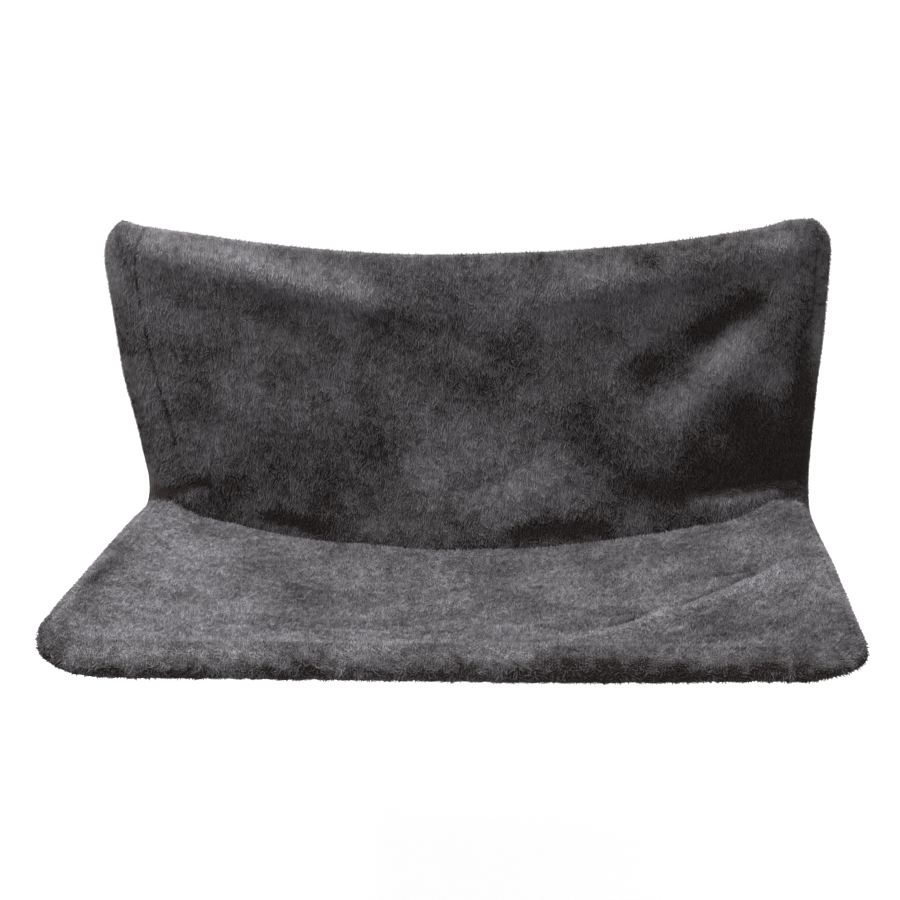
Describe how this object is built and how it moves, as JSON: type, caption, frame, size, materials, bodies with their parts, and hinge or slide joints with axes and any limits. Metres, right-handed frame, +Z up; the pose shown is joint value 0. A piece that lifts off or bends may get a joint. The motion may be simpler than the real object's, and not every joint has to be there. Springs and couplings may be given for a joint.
{
  "type": "radiator cat bed",
  "caption": "Plush sling bed for a cat on a bent tube frame, hung over the top of a radiator by two sliding hooks clamped with wing nuts.",
  "frame": {"origin": "centre plane of the bed, at the front edge of the radiator's top: hooks rest on z = 0, bumpers rest on y = 0", "axes": "+X to the right seen from the front, +Y towards the radiator, +Z up"},
  "size_m": [0.4606, 0.3676, 0.2286],
  "materials": {
    "plush": "matte",
    "frame_steel": "satin",
    "fastener_steel": "satin",
    "black_plastic": "matte",
    "rubber": "matte"
  },
  "bodies": {
    "frame": {"back_panel": "plush", "bracket_screws": "fastener_steel", "cross_bar_screws": "fastener_steel", "front_bar": "frame_steel", "front_sleeve": "plush", "joint_set_screws": "fastener_steel", "left_bumper": "rubber", "left_hook_bracket": "frame_steel", "left_joint_spigot": "fastener_steel", "left_side_tube": "frame_steel", "left_sleeve": "plush", "left_tube_cap": "black_plastic", "lower_cross_bar": "frame_steel", "right_bumper": "rubber", "right_hook_bracket": "frame_steel", "right_joint_spigot": "fastener_steel", "right_side_tube": "frame_steel", "right_sleeve": "plush", "right_tube_cap": "black_plastic", "seat_panel": "plush", "upper_cross_bar": "frame_steel"},
    "left_sliding_hook": {"left_hook": "frame_steel", "left_hook_stud": "fastener_steel", "left_washer": "fastener_steel", "left_hook_pad": "rubber", "left_hook_tip": "black_plastic"},
    "left_clamp_nut": {"left_wing_nut": "fastener_steel"},
    "right_sliding_hook": {"right_hook": "frame_steel", "right_hook_stud": "fastener_steel", "right_washer": "fastener_steel", "right_hook_pad": "rubber", "right_hook_tip": "black_plastic"},
    "right_clamp_nut": {"right_wing_nut": "fastener_steel"}
  },
  "joints": [
    {"name": "left_hook_slide", "type": "slide", "parent": "frame", "child": "left_sliding_hook", "axis": [0, 1, 0], "range_m": [0, 0.045]},
    {"name": "left_wing_nut_turn", "type": "hinge", "parent": "left_sliding_hook", "child": "left_clamp_nut", "pos_m": [-0.175, 0.008, 0.0125], "axis": [0, 0, 1], "range_deg": [0, 270]},
    {"name": "right_hook_slide", "type": "slide", "parent": "frame", "child": "right_sliding_hook", "axis": [0, 1, 0], "range_m": [0, 0.045]},
    {"name": "right_wing_nut_turn", "type": "hinge", "parent": "right_sliding_hook", "child": "right_clamp_nut", "pos_m": [0.175, 0.008, 0.0125], "axis": [0, 0, 1], "range_deg": [0, 270]}
  ]
}
